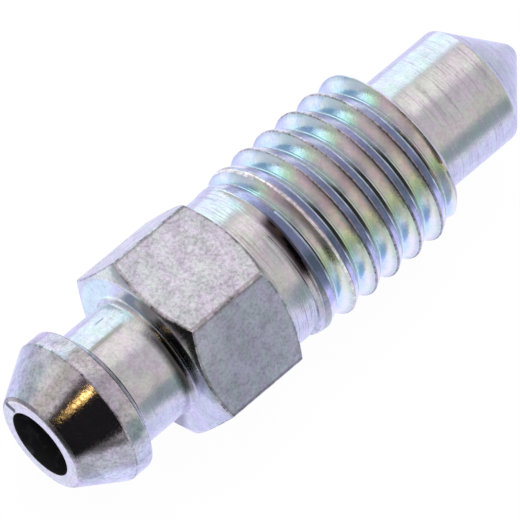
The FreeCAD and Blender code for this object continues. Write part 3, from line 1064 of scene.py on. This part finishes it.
# Each card: azimuth and elevation of its middle, the angles at which its edge begins and ends, its colour
STUDIO_CARDS = [
    (0, -90, 50, 100, (0.84, 0.84, 1.12)),
    (-120, -35, 15, 38, (0.64, 0.62, 0.78)),
    (67, 8, 25, 31, (1.15, 1.28, 1.42)),
    (128, -26, 8, 24, (1.1, 1.1, 1.14)),
    (40, 62, 12, 28, (0.98, 0.96, 1.02)),
    (-74, -5, 8, 23, (0.32, 0.39, 0.45)),
    (130, 0, 8, 28, (0.42, 0.46, 0.56)),
    (140, 48, 12, 35, (0.68, 0.63, 0.66)),
    (-178, -12, 13, 30, (0.03, 0.032, 0.036)),
    (86, 36, 8, 20, (0.95, 1.3, 1.45)),
    (-152, 18, 36, 42, (0.012, 0.011, 0.013)),
    (178, 52, 3, 13, (0.05, 0.042, 0.04)),
    (-118, -10, 3, 9, (0.1, 0.1, 0.11)),
    (-119, -5, 0.8, 2.5, (0.32, 0.3, 0.32)),
    (-167, 50, 1.5, 6.2, (1.25, 0.74, 0.16)),
    (-167, 50, 0.8, 3.1, (8.0, 5.7, 2.0)),
]
STUDIO_WALLS = (0.66, 0.64, 0.68)
PLAIN_LIGHT = (0.9, 0.9, 0.92)


def toward(azimuth, elevation):
    """A direction by its angle from +X and its height, in degrees."""
    turn, rise = math.radians(azimuth), math.radians(elevation)
    return Vector((math.cos(rise) * math.cos(turn), math.cos(rise) * math.sin(turn), math.sin(rise)))


def light_world():
    """White studio walls with pale, grey and black cards, as a glossy surface sees them."""
    world = bpy.data.worlds.new("studio")
    world.use_nodes = True
    world.node_tree.nodes.clear()
    bpy.context.scene.world = world
    wire = Wire(world.node_tree)
    direction = wire.node("ShaderNodeTexCoord", output="Generated")
    walls = STUDIO_WALLS
    for azimuth, elevation, inner, outer, tint in STUDIO_CARDS:
        facing = wire.vector("DOT_PRODUCT", {0: direction, 1: toward(azimuth, elevation)}, "Value")
        card = facing.between(math.cos(math.radians(outer)), math.cos(math.radians(inner)))
        walls = card.tinted(walls, tint)
    camera, mirror = camera_and_mirror_rays(wire)
    shade = mirror.tinted(camera.tinted(PLAIN_LIGHT, WHITE), walls)
    glow = wire.node("ShaderNodeBackground", {}, {"Color": shade, "Strength": 1.0})
    wire.node("ShaderNodeOutputWorld", {}, {"Surface": glow})


def place_camera():
    """The camera, looking down on the screw from the side of the nipple."""
    lens = bpy.data.cameras.new("camera")
    lens.sensor_width = 36.0
    lens.lens = LENS
    lens.clip_start = 0.01
    lens.clip_end = 10.0
    camera = bpy.data.objects.new("camera", lens)
    bpy.context.scene.collection.objects.link(camera)
    back = CAMERA_RIGHT.cross(CAMERA_UP).normalized()
    up = back.cross(CAMERA_RIGHT).normalized()
    turn = Matrix((CAMERA_RIGHT, up, back)).transposed().to_4x4()
    camera.matrix_world = Matrix.Translation(CAMERA_PLACE) @ turn
    bpy.context.scene.camera = camera


def hang_lamp(name, azimuth, elevation, distance, size, power):
    """A soft square lamp that looks at the screw."""
    lamp = bpy.data.lights.new(name, "AREA")
    lamp.shape = "SQUARE"
    lamp.size = size
    lamp.energy = power
    holder = bpy.data.objects.new(name, lamp)
    bpy.context.scene.collection.objects.link(holder)
    direction = toward(azimuth, elevation)
    holder.location = direction * distance
    holder.rotation_euler = direction.to_track_quat("Z", "Y").to_euler()
    holder.visible_glossy = False


class BLEEDER_OT_screw(Operator):
    """Model the screw and give it its zinc plate"""
    bl_idname = "bleeder.screw"
    bl_label = "Model the screw"

    def execute(self, context):
        sizes = millimetre_sizes(context.scene.bleeder_sizes)
        piece = model_screw(sizes)
        finish_screw(piece, sizes, context.scene.bleeder_finish)
        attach(piece, "root")
        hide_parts(NODE)
        return {"FINISHED"}


class BLEEDER_OT_studio(Operator):
    """Lay the floor and set up the light and the camera"""
    bl_idname = "bleeder.studio"
    bl_label = "Set up the studio"

    def execute(self, context):
        lay_floor(context.scene.bleeder_finish)
        light_world()
        hang_lamp("soft_key", azimuth=40, elevation=65, distance=1.0, size=0.8, power=9.0)
        place_camera()
        context.scene.view_settings.view_transform = "Standard"
        return {"FINISHED"}


class BLEEDER_PT_panel(Panel):
    """Sidebar panel with the screw's sizes, its finish and its studio"""
    bl_label = "Bleeder screw"
    bl_space_type = "VIEW_3D"
    bl_region_type = "UI"
    bl_category = "Bleeder screw"

    def draw(self, context):
        for settings in (context.scene.bleeder_sizes, context.scene.bleeder_finish):
            column = self.layout.column(align=True)
            for name in type(settings).__annotations__:
                column.prop(settings, name)
        for operator in (BLEEDER_OT_screw, BLEEDER_OT_studio):
            self.layout.operator(operator.bl_idname)


CLASSES = (BleederScrewSizes, BleederScrewFinish, BLEEDER_OT_screw, BLEEDER_OT_studio, BLEEDER_PT_panel)


def register():
    """Add the classes and the scene's settings."""
    for item in CLASSES:
        bpy.utils.register_class(item)
    bpy.types.Scene.bleeder_sizes = PointerProperty(type=BleederScrewSizes)
    bpy.types.Scene.bleeder_finish = PointerProperty(type=BleederScrewFinish)


def unregister():
    """Take the classes and the scene's settings away again."""
    del bpy.types.Scene.bleeder_finish
    del bpy.types.Scene.bleeder_sizes
    for item in reversed(CLASSES):
        bpy.utils.unregister_class(item)


def main():
    """Model the screw in its studio."""
    register()
    bpy.ops.bleeder.screw()
    bpy.ops.bleeder.studio()


if __name__ == "__main__":
    main()
